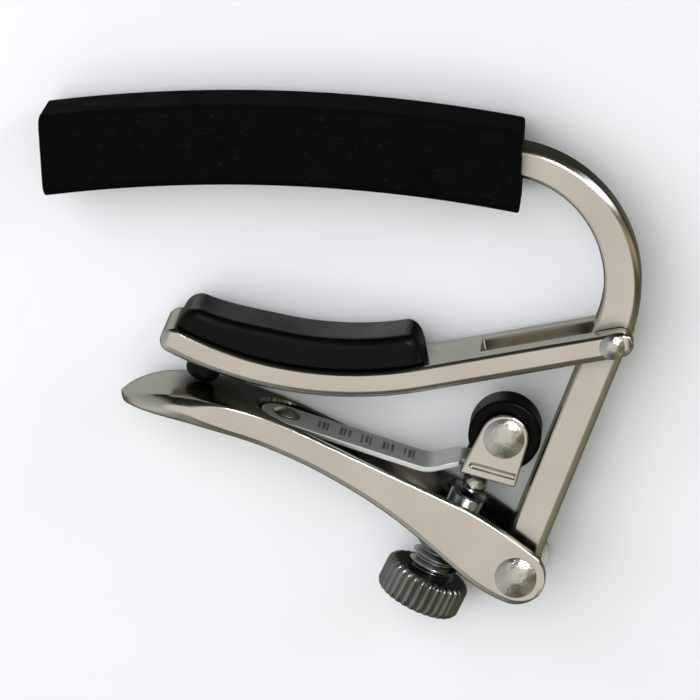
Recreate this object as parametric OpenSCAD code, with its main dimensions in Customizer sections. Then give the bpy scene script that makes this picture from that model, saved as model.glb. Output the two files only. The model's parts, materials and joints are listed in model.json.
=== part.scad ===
// Lever capo for a guitar: a string bar with a rubber sleeve, a neck arm with a pad, and an
// over-centre lever whose spring-mounted roller locks the arm. It lies on its side: X runs along
// the strings' crossing, Y from the lever up to the string bar, Z along the hinge pins.

/* [String bar] */
// Width of the bar along the hinge pins
bar_w = 5.4; // [4.8:0.1:5.6]
// Thickness of the bar's straight leg
leg_t = 4.8; // [4.6:0.1:5]
// Thickness of the bar inside the sleeve
string_t = 3.9; // [3.7:0.1:4]
// Radius of the bar's string side, which follows the fingerboard
string_r = 190; // [185:5:240]
// Radius of the outside of the bend
bend_out_r = 18; // [17.5:0.1:18.5]
// Lean of the straight leg from upright, in degrees
leg_tilt = 20.75; // [20:0.25:21.5]
// How far left of the lever pin the string side is highest
crest_x = -33.5; // [-37:0.5:-33]
// Height of the string side's middle line above the lever pin
crest_y = 55.4; // [54.5:0.1:57]

/* [Rubber sleeve] */
// Length of the sleeve between the middles of its ends
sleeve_len = 59.6; // [57:0.1:60]
// Thickness of the sleeve across the strings
sleeve_t = 10.2; // [9.4:0.1:10.4]
// Width of the sleeve along the strings
sleeve_w = 11.2; // [10.4:0.1:12]

/* [Neck arm] */
// Width of the arm along the hinge pins
arm_w = 11.5; // [11.2:0.1:11.8]
// Thickness of the arm
arm_t = 3.3; // [3:0.1:3.4]
// Lean of the arm's straight part, in degrees
arm_tilt = 11.2; // [10.8:0.1:11.6]
// Length of the arm's straight part from its pin
arm_straight = 24.2; // [23.5:0.1:25]
// Radius of the arm's curved middle line, which cradles the neck
arm_r = 48; // [46:0.5:50]
// Sweep of the arm's curved part, in degrees
arm_sweep = 38.3; // [37.5:0.1:39]
// Length of the slot for the bar, from the pin to its closed end
slot_len = 16.4; // [15.5:0.1:17]

/* [Neck pad] */
// Thickness of the pad
pad_t = 4; // [3.6:0.1:4.4]
// Width of the pad along the strings
pad_w = 9.6; // [9:0.1:10.4]

/* [Lever] */
// Width of the lever at its flanges
lever_w = 12.2; // [12:0.1:12.6]
// Width of the lever at its thumb tip
tip_w = 14; // [13:0.1:14]
// Thickness of the lever's flanges
flange_t = 1.3; // [1.2:0.05:1.4]
// Radius of the lever's round end about its pin
lever_end_r = 3.75; // [3.6:0.05:3.8]

/* [Roller and spring strip] */
// Radius of the roller
roller_r = 4.6; // [4.4:0.05:4.7]
// Width of the roller
roller_w = 5.2; // [4.8:0.1:5.3]
// Thickness of the spring strip
strip_t = 0.7; // [0.6:0.05:0.75]
// Width of the spring strip
strip_w = 7.2; // [6.8:0.1:7.6]
// Thickness of the yoke's sheet
yoke_t = 0.9; // [0.8:0.05:0.95]

/* [Thumb screw] */
// Radius of the knob
knob_r = 5.55; // [5.2:0.05:5.7]
// Height of the knob
knob_h = 4.4; // [4:0.1:4.6]
// Number of flutes round the knob
flutes = 30; // [24:1:34]
// Radius over the screw's thread
thread_r = 3.15; // [3.05:0.05:3.15]
// Pitch of the screw's thread
thread_pitch = 1.27; // [1.2:0.01:1.3]

/* [Hidden] */
$fn = 96;
seam = 0.02;              // gap between pieces fixed to each other
running = 0.05;           // gap between pieces that move on each other
past = 1;                 // how far a cut runs past the face it leaves by

// Pins, as seen along Z. The lever pin is the working origin.
lever_pin = [0, 0];
arm_pin = [11.7, 30.2];
roller_pin = [-1.7, 17.5];
leg_shift = -0.2;         // the leg's middle line passes this far from the lever pin
arm_pin_r = 1.1;
lever_pin_r = 1.6;
roller_pin_r = 1.25;
strip_pin_r = 1.2;

// The leg runs up along leg_u, and leg_n points from it into the bend.
leg_u = [sin(leg_tilt), cos(leg_tilt)];
leg_n = [-cos(leg_tilt), sin(leg_tilt)];
string_c = [crest_x, crest_y - string_r];
bend_r = bend_out_r - leg_t / 2;     // the bend's middle line, if it were as thick as the leg
// The bend touches the leg and the string side, which fixes its centre.
bend_from = [leg_shift, 0] + bend_r * leg_n - string_c;
bend_along = -bend_from * leg_u + sqrt(pow(bend_from * leg_u, 2)
    - bend_from * bend_from + pow(string_r - bend_r, 2));
bend_c = string_c + bend_from + bend_along * leg_u;
bend_a = atan2(bend_c.y - string_c.y, bend_c.x - string_c.x);
deg_mm = string_r * PI / 180;   // arc length of one degree of the string side
sleeve_drop = 0.45;             // the sleeve's middle line lies this far under the bar's
sleeve_r = string_r - sleeve_drop;
sleeve_end = 0.1;               // where the middle of the sleeve's open end is, along X
open_lean = 2;                  // lean of the sleeve's ends from upright, in degrees
closed_lean = -3;
bar_inset = 1.6;                // the bar stops this far inside the sleeve's closed end
leg_tail = 0.3;                 // the leg's round end is centred this far past the lever pin

// Arm
arm_u = [-cos(arm_tilt), -sin(arm_tilt)];
arm_n = [-sin(arm_tilt), cos(arm_tilt)];
arm_knee = arm_pin + arm_straight * arm_u;
arm_c = arm_knee + arm_r * arm_n;
nose_a = arm_tilt - 90 - arm_sweep;
arm_tail = 1;                   // the arm's round end is centred this far past its pin
bumper_at = 32.5;               // sweep from the knee to the bumper, in degrees
bumper_r = 2.2;
bumper_drop = 3.1;
slot_w = bar_w + 0.3;

// Lever. Its rim and belly are curves from the thumb tip to the round end.
tip = [-50.4, 21.8];
rim_a = [-28.2, 18.9];
rim_b = [-7, 9.05];
belly_a = [-22.2, 11.65];
flare_from = -31;
flare_full = -41;
tip_round = 9;
seat_a = [-33.2, 19.25];
seat_b = [-26.4, 17.1];
floor_b = [-8.1, 5.2];
pivot_clear = 3.4;
spacer_r = 2.9;

// Strip, yoke and screw
strip_tilt = -17.5;
strip_pin = [-29.5, 18.78];     // on the strip's middle plane
strip_bend = 18.9;              // length of the strip from its rivet to its bend
yoke_tilt = -15;
yoke_corner = [-7.3, 12.96];
yoke_base_l = 7.25;
yoke_round = 3.05;
yoke_gap = roller_w + 0.3;
screw_lean = 25;                // lean of the screw from upright, in degrees
knob_at = [-12.04, -3.12];      // centre of the knob
screw_d = [sin(screw_lean), cos(screw_lean)];
thread_end = 11.6;              // distances along the screw from the knob's centre
nub_r = 1.7;
neck_r = 2.3;

// The part's origin is under the middle of its outline, at the level it lies on.
half_z = tip_w / 2;
left_x = sleeve_end - sleeve_len + sleeve_t / 2 * tan(closed_lean);
right_x = bend_c.x + bend_out_r;
top_y = crest_y - sleeve_drop + sleeve_t / 2;
knob_dip = 0.25;                // the knob's rounded rim takes this off its lowest point
low_y = knob_at.y - knob_h / 2 * cos(screw_lean) - knob_r * sin(screw_lean) + knob_dip;
shift = [-(left_x + right_x) / 2, -(top_y + low_y) / 2, half_z];

// ---- Curves ----

function bezier(a, b, c, d, n = 14) = [for (i = [0:n]) let (t = i / n, s = 1 - t)
    s * s * s * a + 3 * s * s * t * b + 3 * s * t * t * c + t * t * t * d];

function arc(c, r, from, to, n = 16) = [for (i = [0:n]) let (a = from + (to - from) * i / n)
    c + r * [cos(a), sin(a)]];

function on_arc(c, r, a) = c + r * [cos(a), sin(a)];

// ---- Shared shapes ----

module placed() { translate(shift) children(); }

// A rectangle with four round corners, centred, x by y.
module rounded_rect(x, y, r) {
    square([x - 2 * r, y], center = true);
    square([x, y - 2 * r], center = true);
    for (i = [-1, 1], j = [-1, 1]) translate([i * (x / 2 - r), j * (y / 2 - r)]) circle(r);
}

// The section in its children swept round a point, from one angle to another.
module swept(c, r, from, to) {
    translate([c.x, c.y, 0]) rotate([0, 0, from])
        rotate_extrude(angle = to - from) translate([r, 0]) children();
}

// A cylinder along Z, centred on the middle plane.
module pin_z(p, r, l) { translate([p.x, p.y, 0]) cylinder(r = r, h = l, center = true); }

// A shallow dome standing on z = 0.
module dome(r, h) {
    ball = (r * r + h * h) / (2 * h);
    intersection() {
        translate([0, 0, h - ball]) sphere(ball);
        cylinder(r = r, h = h + past);
    }
}

// A rivet along Z: shank, domed head in front and a lower formed head behind.
module rivet_z(p, shank_r, grip, head_r, head_h, tail_r, tail_h) {
    pin_z(p, shank_r, grip + 0.02);
    translate([p.x, p.y, grip / 2]) dome(head_r, head_h);
    translate([p.x, p.y, -grip / 2]) mirror([0, 0, 1]) dome(tail_r, tail_h);
}

// ---- Main bar and sleeve ----

bar_out_r = string_r + leg_t / 2;
bar_end_a = bend_a + (sleeve_len - bar_inset) / deg_mm;

// The stretch of the bar in the sleeve, its outline grown by extra.
function string_side(extra, from) = concat(
    arc(string_c, bar_out_r + extra, bar_end_a, from, 24),
    arc(string_c, bar_out_r - string_t - extra, from, bar_end_a, 24));

// The bar tapers round its bend, from the leg's thickness to the string side's.
function bar_outline() = concat(
    arc(string_c, bar_out_r, bar_end_a, bend_a, 24),
    arc(bend_c, bend_out_r, bend_a, -leg_tilt, 32),
    arc([leg_shift, 0] - leg_tail * leg_u, leg_t / 2, -leg_tilt, -leg_tilt - 180),
    [for (i = [0:32]) on_arc(bend_c, bend_out_r - leg_t + (leg_t - string_t) * i / 32,
        -leg_tilt + (bend_a + leg_tilt) * i / 32)],
    arc(string_c, bar_out_r - string_t, bend_a, bar_end_a, 24));

module main_bar() {
    color("silver") placed() difference() {
        translate([0, 0, -bar_w / 2]) linear_extrude(bar_w) polygon(bar_outline());
        pin_z(arm_pin, arm_pin_r + seam, bar_w + past);
        pin_z(lever_pin, lever_pin_r + seam, bar_w + past);
    }
}

// The corner of a sleeve end at height h over its middle, for an end at x that leans by a.
function end_corner(x, a, h) = [x + h * tan(a),
    h + string_c.y + sqrt(pow(sleeve_r, 2) - pow(x - string_c.x, 2))];

module string_sleeve() {
    hole_w = bar_w + 2 * running;
    reach = sleeve_t;
    spare_a = 2;
    far = sleeve_end - sleeve_len;
    color("black") placed() difference() {
        intersection() {
            swept(string_c, sleeve_r, bend_a - spare_a, bend_a + sleeve_len / deg_mm + spare_a)
                rounded_rect(sleeve_t, sleeve_w, 1.6);
            translate([0, 0, -sleeve_w]) linear_extrude(2 * sleeve_w) polygon([
                end_corner(sleeve_end, open_lean, -reach), end_corner(sleeve_end, open_lean, reach),
                end_corner(far, closed_lean, reach), end_corner(far, closed_lean, -reach)]);
        }
        translate([0, 0, -hole_w / 2]) linear_extrude(hole_w)
            polygon(string_side(running, bend_a - spare_a));
    }
}

module arm_rivet() {
    color("gainsboro") placed() rivet_z(arm_pin, arm_pin_r, arm_w + 2 * running, 1.55, 0.55, 1.5, 0.5);
}

module lever_rivet() {
    color("gainsboro") placed() rivet_z(lever_pin, lever_pin_r, lever_w + 2 * running, 2.6, 0.85, 2.5, 0.8);
}

// ---- Neck arm ----

function arm_outline() = concat(
    arc(arm_pin - arm_tail * arm_u, arm_t / 2, arm_tilt + 90, arm_tilt - 90),
    arc(arm_c, arm_r + arm_t / 2, arm_tilt - 90, nose_a, 32),
    arc(on_arc(arm_c, arm_r, nose_a), arm_t / 2, nose_a, nose_a - 180),
    arc(arm_c, arm_r - arm_t / 2, nose_a, arm_tilt - 90, 32));

module neck_arm() {
    bumper_a = arm_tilt - 90 - bumper_at;
    color("silver") placed() difference() {
        translate([0, 0, -arm_w / 2]) linear_extrude(arm_w) polygon(arm_outline());
        // slot, open at the pin's end
        translate([arm_pin.x, arm_pin.y, 0]) rotate([0, 0, arm_tilt]) translate([-slot_len, 0, 0])
            translate([0, -arm_t - past, -slot_w / 2]) cube([slot_len + 5, 2 * (arm_t + past), slot_w]);
        pin_z(arm_pin, arm_pin_r + running, arm_w + past);
        translate([arm_c.x, arm_c.y, 0]) rotate([0, 0, bumper_a]) translate([arm_r, 0, 0])
            rotate([0, 90, 0]) cylinder(r = bumper_r - 0.5, h = arm_t + past, center = true);
    }
}

module neck_pad() {
    top_r = arm_r - arm_t / 2 - pad_t;
    color("black") placed()
        swept(arm_c, top_r + pad_t / 2 - seam, arm_tilt - 90 - arm_sweep - 0.6, arm_tilt - 89.4)
            rounded_rect(pad_t, pad_w, 1);
}

module bumper_plug() {
    bumper_a = arm_tilt - 90 - bumper_at;
    stud_l = arm_t - 2 * seam;
    color("black") placed() translate([arm_c.x, arm_c.y, 0]) rotate([0, 0, bumper_a])
        translate([arm_r, 0, 0]) rotate([0, 90, 0]) {
            cylinder(r = bumper_r - 0.5 - seam, h = stud_l, center = true);
            translate([0, 0, arm_t / 2 + seam]) cylinder(r = bumper_r, h = bumper_drop - 1.3);
            translate([0, 0, arm_t / 2 + seam + bumper_drop - 1.3]) dome(bumper_r, 1.3);
            translate([0, 0, arm_t / 2 - 2 * seam]) cylinder(r = bumper_r - 0.5 - seam, h = 4 * seam);
        }
}

// ---- Lever ----

function lever_outline() = concat(
    bezier(tip, [-46.2, 23.9], [-38, 23.1], rim_a),
    bezier(rim_b, [-3.5, 7.4], [0.1, 4.6], [0.7071, 0.7071] * lever_end_r),
    arc(lever_pin, lever_end_r, 45, -115),
    bezier([cos(115), -sin(115)] * lever_end_r, [-8.1, -0.8], [-10.7, 5.1], belly_a),
    bezier(belly_a, [-29.5, 16], [-40, 19.75], tip + [0.7, -0.8]));

// Half of the lever's plan, from the pin's end to the thumb tip.
function half_plan() = concat(
    [[lever_end_r + past, lever_w / 2], [flare_from, lever_w / 2]],
    bezier([flare_from, lever_w / 2], [flare_from - 4, lever_w / 2], [flare_full + 4, tip_w / 2],
        [flare_full, tip_w / 2]),
    [for (a = [0:6:90]) [tip.x + tip_round - tip_round * sin(a), tip_w / 2 * pow(cos(a), 0.8)]]);

function mirrored(points) = [for (i = [len(points) - 1:-1:0]) [points[i].x, -points[i].y]];

module lever_plan() {
    rotate([90, 0, 0]) translate([0, 0, -60]) linear_extrude(120)
        polygon(concat(half_plan(), mirrored(half_plan())));
}

// The trough between the flanges, open upward and round the pin.
module lever_trough() {
    inner_w = lever_w - 2 * flange_t;
    translate([0, 0, -inner_w / 2]) linear_extrude(inner_w) {
        polygon(concat([[seat_a.x, 30], seat_a], bezier(seat_b, [-19, 14.2], [-13, 10.2], floor_b),
            [[-4.4, 1.4], [lever_end_r + past, 1.4], [lever_end_r + past, 30]]));
        circle(pivot_clear);
        translate([-1, -lever_end_r - past]) square([lever_end_r + 2 + past, lever_end_r + 2 + past]);
    }
}

module along_screw(s) {
    translate([knob_at.x + s * screw_d.x, knob_at.y + s * screw_d.y, 0]) rotate([-90, 0, -screw_lean])
        children();
}

module lever() {
    color("silver") placed() difference() {
        intersection() {
            translate([0, 0, -half_z - past]) linear_extrude(2 * half_z + 2 * past)
                polygon(lever_outline());
            lever_plan();
        }
        lever_trough();
        pin_z(lever_pin, lever_pin_r + running, lever_w + past);
        along_screw(0) cylinder(r = thread_r + running, h = thread_end + 2);
        strip_place() translate([0, -3, 0]) rotate([-90, 0, 0])
            cylinder(r = strip_pin_r + seam, h = 6, center = true);
    }
}

module lever_spacer(side) {
    spacer_t = (lever_w - 2 * flange_t - bar_w) / 2 - 2 * running;
    color("gray") placed() translate([0, 0, side * (bar_w / 2 + running + spacer_t / 2)]) difference() {
        cylinder(r = spacer_r, h = spacer_t, center = true);
        cylinder(r = lever_pin_r + running, h = spacer_t + past, center = true);
    }
}

// ---- Spring strip, yoke and roller ----

// The strip's own place: x along the strip, y away from the lever.
module strip_place() {
    translate([strip_pin.x, strip_pin.y, 0]) rotate([0, 0, strip_tilt]) children();
}

// The yoke's own place: x along its base, y up to the roller.
module yoke_place() {
    translate([yoke_corner.x, yoke_corner.y, 0]) rotate([0, 0, yoke_tilt]) children();
}

tongue_l = 2.2;
// The strip's bend, and where its tongue lies on the yoke's base.
bend_p = strip_pin + strip_bend * [cos(strip_tilt), sin(strip_tilt)];
lap = yoke_corner + (yoke_t + seam + strip_t / 2) * [-sin(yoke_tilt), cos(yoke_tilt)];

// A flat length of strip between two points of its middle plane, w wide.
module strip_run(a, b, w) {
    d = b - a;
    translate([a.x, a.y, 0]) rotate([0, 0, atan2(d.y, d.x)]) translate([0, -strip_t / 2, -w / 2])
        cube([norm(d), strip_t, w]);
}

module spring_strip() {
    tongue_w = yoke_gap - 2 * seam;
    lap_end = lap + tongue_l * [cos(yoke_tilt), sin(yoke_tilt)];
    color("darkgray") placed() difference() {
        union() {
            strip_place() translate([0, -strip_t / 2, -strip_w / 2]) cube([strip_bend, strip_t, strip_w]);
            strip_place() rotate([-90, 0, 0]) cylinder(r = strip_w / 2, h = strip_t, center = true);
            pin_z(bend_p, strip_t / 2, strip_w);
            strip_run(bend_p, lap - [0.4, 0], strip_w);
            pin_z(lap - [0.4, 0], strip_t / 2, strip_w);
            strip_run(lap - [0.4, 0], lap + [0.1, 0], tongue_w);
            strip_run(lap, lap_end, tongue_w);
        }
        strip_place() rotate([-90, 0, 0]) cylinder(r = strip_pin_r + 0.12, h = 3, center = true);
        yoke_rivet_places() cylinder(r = 0.5 + seam, h = 6, center = true);
    }
}

// A collar under the strip, a shank into the lever and a dome over the strip.
module strip_rivet() {
    play = 0.2;
    color("gainsboro") placed() strip_place() rotate([-90, 0, 0]) {
        translate([0, 0, -1.9]) cylinder(r = strip_pin_r, h = 1.9 + strip_t / 2 + play);
        translate([0, 0, strip_t / 2 + play]) dome(1.75, 0.65);
    }
}

module yoke_rivet_places() {
    for (z = [-1.4, 1.4]) yoke_place() translate([tongue_l / 2, 0, z]) rotate([-90, 0, 0]) children();
}

module yoke_rivets() {
    color("gray") placed() yoke_rivet_places() {
        translate([0, 0, 0.1]) cylinder(r = 0.5, h = yoke_t + strip_t + 0.1, $fn = 32);
    }
}

// One ear: a round top about the roller's pin, on a base line.
module yoke_ear_outline() {
    base = [cos(yoke_tilt), sin(yoke_tilt)];
    corner_b = yoke_corner + yoke_base_l * base;
    to_a = yoke_corner - roller_pin;
    to_b = corner_b - roller_pin;
    // tangent points of the two sides on the round top
    a = atan2(to_a.y, to_a.x) - acos(yoke_round / norm(to_a));
    b = atan2(to_b.y, to_b.x) + acos(yoke_round / norm(to_b));
    polygon(concat([yoke_corner, corner_b], arc(roller_pin, yoke_round, b, a + 360)));
}

module roller_yoke() {
    color("silver") placed() difference() {
        union() {
            for (side = [-1, 1]) translate([0, 0, side * (yoke_gap + yoke_t) / 2])
                linear_extrude(yoke_t, center = true) yoke_ear_outline();
            yoke_place() translate([0, 0, -yoke_gap / 2 - yoke_t / 2])
                cube([yoke_base_l, yoke_t, yoke_gap + yoke_t]);
        }
        pin_z(roller_pin, roller_pin_r + seam, yoke_gap + 4 * yoke_t);
        yoke_rivet_places() cylinder(r = 0.5 + seam, h = 6, center = true);
    }
}

module roller_axle() {
    color("gainsboro") placed()
        rivet_z(roller_pin, roller_pin_r, yoke_gap + 2 * yoke_t + 2 * seam, 2.55, 0.8, 2.3, 0.6);
}

module roller() {
    color("black") placed() translate([roller_pin.x, roller_pin.y, 0]) rotate_extrude() {
        translate([roller_pin_r + running, -roller_w / 2])
            square([roller_r - 0.5 - roller_pin_r - running, roller_w]);
        translate([roller_r - 1, 0.5 - roller_w / 2]) square([1, roller_w - 1]);
        for (j = [-1, 1]) translate([roller_r - 0.5, j * (roller_w / 2 - 0.5)]) circle(0.5);
    }
}

// ---- Thumb screw ----

// The nub is a ball between the screw's neck and the yoke's base.
yoke_n = [-sin(yoke_tilt), cos(yoke_tilt)];
nub_centre = ((yoke_corner - knob_at) * yoke_n - nub_r - running) / (screw_d * yoke_n);
neck_end = nub_centre - nub_r - running;

module screw_nub() {
    color("white") placed() along_screw(nub_centre) sphere(nub_r);
}

module screw_shank() {
    groove = 0.35;
    color("gray") placed() along_screw(0) difference() {
        union() {
            translate([0, 0, knob_h / 2 - 1]) cylinder(r = thread_r, h = thread_end - knob_h / 2 + 1);
            translate([0, 0, thread_end - 0.1]) cylinder(r = neck_r, h = neck_end - thread_end + 0.1);
        }
        for (s = [knob_h / 2 + 0.4 : thread_pitch : thread_end - 0.5]) translate([0, 0, s])
            rotate_extrude() translate([thread_r, 0]) rotate(45)
                square(groove * sqrt(2), center = true);
    }
}

module thumb_knob() {
    edge = 0.8;
    color("gray") placed() along_screw(0) difference() {
        rotate_extrude() difference() {
            union() {
                translate([0, -knob_h / 2]) square([knob_r - edge, knob_h]);
                translate([0, edge - knob_h / 2]) square([knob_r, knob_h - 2 * edge]);
                for (j = [-1, 1]) translate([knob_r - edge, j * (knob_h / 2 - edge)]) circle(edge);
            }
            translate([-knob_r, -knob_h]) square([knob_r, 2 * knob_h]);
        }
        translate([0, 0, knob_h / 2 - 1 - seam]) cylinder(r = thread_r + seam, h = 2);
        for (i = [0:flutes - 1]) rotate([0, 0, i * 360 / flutes]) translate([knob_r + 0.15, 0, 0])
            cylinder(r = 0.38, h = knob_h + past, center = true, $fn = 16);
    }
}

main_bar();
string_sleeve();
arm_rivet();
lever_rivet();
neck_arm();
neck_pad();
bumper_plug();
lever();
lever_spacer(1);  // lever_spacer_front
lever_spacer(-1);  // lever_spacer_back
strip_rivet();
spring_strip();
roller_yoke();
yoke_rivets();
roller_axle();
roller();
screw_nub();
screw_shank();
thumb_knob();
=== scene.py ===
"""The looks of the guitar capo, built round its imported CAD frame."""
import json
import math
import random

import bmesh
import bpy
from mathutils import Matrix, Vector

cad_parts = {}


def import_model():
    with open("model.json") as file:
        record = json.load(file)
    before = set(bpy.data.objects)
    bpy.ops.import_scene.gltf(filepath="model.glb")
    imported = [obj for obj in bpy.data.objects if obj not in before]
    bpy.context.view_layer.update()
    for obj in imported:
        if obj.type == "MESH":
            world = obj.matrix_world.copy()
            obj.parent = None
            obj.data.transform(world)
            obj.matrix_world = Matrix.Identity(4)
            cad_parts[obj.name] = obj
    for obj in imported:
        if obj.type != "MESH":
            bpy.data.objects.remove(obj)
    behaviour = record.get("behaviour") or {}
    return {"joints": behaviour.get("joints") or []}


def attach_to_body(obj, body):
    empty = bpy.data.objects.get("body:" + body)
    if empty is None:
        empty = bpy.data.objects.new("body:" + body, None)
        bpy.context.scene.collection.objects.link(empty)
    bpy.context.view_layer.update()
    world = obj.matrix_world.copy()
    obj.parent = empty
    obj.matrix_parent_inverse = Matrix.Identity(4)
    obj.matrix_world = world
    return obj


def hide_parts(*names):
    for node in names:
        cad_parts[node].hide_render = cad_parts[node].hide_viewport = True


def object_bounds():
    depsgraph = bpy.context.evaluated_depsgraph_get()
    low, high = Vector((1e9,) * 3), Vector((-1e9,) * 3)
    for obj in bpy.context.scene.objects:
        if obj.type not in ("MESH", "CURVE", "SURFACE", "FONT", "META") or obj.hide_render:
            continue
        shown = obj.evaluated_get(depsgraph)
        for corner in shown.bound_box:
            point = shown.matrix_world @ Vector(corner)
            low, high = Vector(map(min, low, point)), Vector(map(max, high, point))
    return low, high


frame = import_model()
cad_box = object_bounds()

MM = 0.001
JOINT = {j["name"]: j for j in frame["joints"]}
LEVER_PIN = Vector(JOINT["lever_swing"]["pos_m"])


def pin(name):
    """A joint's pin in millimetres from the lever pin, as (x, y)."""
    p = (Vector(JOINT[name]["pos_m"]) - LEVER_PIN) / MM
    return Vector((p.x, p.y))


# Sizes in millimetres, from the lever pin, with z = 0 in the capo's middle plane.
ARM_PIN = pin("arm_swing")
ROLLER_PIN = pin("roller_spin")
STRIP_PIN = pin("roller_lift")
KNOB_AT = pin("screw_turn")
SCREW_D = Vector(JOINT["screw_turn"]["axis"][:2]).normalized()

# Bar and sleeve. Angles are in degrees.
BAR_HALF_W = 2.7
LEG_T = 4.8                     # the bar's thickness in its straight leg
STRING_T = 3.9                  # and inside the sleeve
STRING_R = 190.0                # radius that the string side follows
BEND_OUT_R = 18.0
LEG_TILT = 20.75                # lean of the leg from upright
LEG_SHIFT = -0.2                # x of the leg's middle at the lever pin's height
LEG_FOOT = 2.0                  # how far the leg reaches past the lever pin
STRING_C = Vector((-33.5, 55.4 - STRING_R))  # its centre, below the crest
BAR_INSET = 1.6                 # the bar's end, inside the sleeve's closed end
SLEEVE_LEN = 59.6
SLEEVE_T = 10.2
SLEEVE_W = 11.2
SLEEVE_R = STRING_R - 0.45
SLEEVE_END = 0.1                # x of the sleeve's open end
OPEN_LEAN = 2.0
CLOSED_LEAN = -3.0

# Neck arm, pad and bumper
ARM_HALF_W = 5.75
ARM_T = 3.3
ARM_TILT = 11.2
ARM_STRAIGHT = 24.2             # length from the pin to the start of the curve
ARM_R = 48.0
ARM_SWEEP = 38.3                # turn of the curve
ARM_TAIL = 1.0                  # length behind the pin
SLOT_LEN = 16.4
SLOT_HALF_W = 2.85
BUMPER_AT = 32.5                # the bumper's place along the curve
BUMPER_R = 2.2
BUMPER_DROP = 3.1
PAD_T = 4.0
PAD_W = 9.6
PAD_CORNER = 1.9                # length of the rounding at each end of the pad

# Lever
LEVER_HALF_W = 6.1
TIP_HALF_W = 7.0
TIP_ROUND = 9.0                 # length of the thumb tip's round end
LEVER_END_R = 3.75
FLANGE_T = 1.3
TIP = Vector((-50.4, 21.8))
RIM_A = Vector((-28.2, 18.9))   # the rim runs straight from here to RIM_B
RIM_B = Vector((-7, 9.05))
BELLY_A = Vector((-22.2, 11.65))
SEAT_A = Vector((-33.2, 19.25))  # the strip's flat seat in the trough, from here to SEAT_B
SEAT_B = Vector((-26.4, 17.1))
FLOOR_B = Vector((-8.1, 5.2))   # the low end of the trough's floor

# Spring strip, yoke and roller
STRIP_T = 0.7
STRIP_W = 7.2
STRIP_TILT = -17.5
STRIP_TAIL = 3.3                # length behind the strip's rivet
STRIP_BEND = 18.9               # length from the rivet to the bend
BEND_REACH = 1.2                # length of the bend's curve on each side of it
YOKE_TILT = -15.0
YOKE_CORNER = Vector((-7.3, 12.96))
YOKE_BASE = 7.25
YOKE_ROUND = 3.05
YOKE_GAP = 5.5
YOKE_T = 0.9
ROLLER_R = 4.6
ROLLER_W = 5.2
ROLLER_EDGE = 0.45

# Thumb screw
KNOB_R = 5.55
KNOB_H = 4.4
KNOB_EDGE = 0.95
FLUTES = 30
FLUTE_DEPTH = 0.42
THREAD_R = 3.15
THREAD_PITCH = 1.27
THREAD_DEPTH = 0.75
THREAD_END = 11.6               # distance along the screw from the knob's centre
NECK_R = 2.3
NUB_R = 1.7
CLEAR = 0.05                    # gap between pieces that touch


# ---- Plane curves ----

def polar(angle):
    """The unit direction at an angle in degrees, anticlockwise from +X."""
    a = math.radians(angle)
    return Vector((math.cos(a), math.sin(a)))


def arc(centre, radius, start, end, n):
    """n + 1 points round a centre, from one angle to another."""
    return [centre + radius * polar(start + (end - start) * i / n) for i in range(n + 1)]


def bezier(a, b, c, d, n):
    """n + 1 points on the cubic curve from a to d."""
    out = []
    for i in range(n + 1):
        t = i / n
        s = 1 - t
        out.append(s**3 * a + 3 * s * s * t * b + 3 * s * t * t * c + t**3 * d)
    return out


def resample(points, n):
    """n + 1 points at even distances along a line of points."""
    lengths = [0.0]
    for a, b in zip(points, points[1:]):
        lengths.append(lengths[-1] + (b - a).length)
    out, k = [], 0
    for i in range(n + 1):
        want = lengths[-1] * i / n
        while k < len(points) - 2 and lengths[k + 1] < want:
            k += 1
        span = lengths[k + 1] - lengths[k]
        t = 0 if span == 0 else (want - lengths[k]) / span
        out.append(points[k].lerp(points[k + 1], min(max(t, 0), 1)))
    return out


def smooth(a, b, x):
    """Rises from 0 to 1 as x goes from a to b."""
    t = min(max((x - a) / (b - a), 0), 1)
    return t * t * (3 - 2 * t)


def rounded(radius, height, r, steps):
    """(radius, height) pairs round a corner of radius r, from its top to its outer face."""
    spots = [polar(90 - 90 * i / steps) for i in range(steps + 1)]
    return [(radius - r + r * d.x, height - r + r * d.y) for d in spots]


def leg_u():
    """Up along the leg."""
    a = math.radians(LEG_TILT)
    return Vector((math.sin(a), math.cos(a)))


def leg_n():
    """Across the leg, towards the sleeve."""
    u = leg_u()
    return Vector((-u.y, u.x))


def bend_centre():
    """The point from which the bend touches both the leg and the string side."""
    middle_r = BEND_OUT_R - LEG_T / 2
    start = Vector((LEG_SHIFT, 0)) + middle_r * leg_n() - STRING_C
    half = start.dot(leg_u())
    along = -half + math.sqrt(half**2 - start.length_squared + (STRING_R - middle_r) ** 2)
    return STRING_C + start + along * leg_u()


BEND_C = bend_centre()
BEND_A = math.degrees(math.atan2(BEND_C.y - STRING_C.y, BEND_C.x - STRING_C.x))
ARM_U = -polar(ARM_TILT)
ARM_C = ARM_PIN + ARM_STRAIGHT * ARM_U + ARM_R * polar(ARM_TILT + 90)
NOSE_A = ARM_TILT - 90 - ARM_SWEEP
YOKE_X = polar(YOKE_TILT)
YOKE_Y = polar(YOKE_TILT + 90)
STRIP_X = polar(STRIP_TILT)
STRIP_Y = polar(STRIP_TILT + 90)
# The ball tip's distance along the screw from the knob's centre.
NUB_S = ((YOKE_CORNER - KNOB_AT).dot(YOKE_Y) - NUB_R - CLEAR) / SCREW_D.dot(YOKE_Y)


# ---- Meshes ----

def world(p, z):
    """A point in metres in the shared frame, from a plane point and a z in millimetres."""
    return LEVER_PIN + Vector((p.x, p.y, z)) * MM


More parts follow.
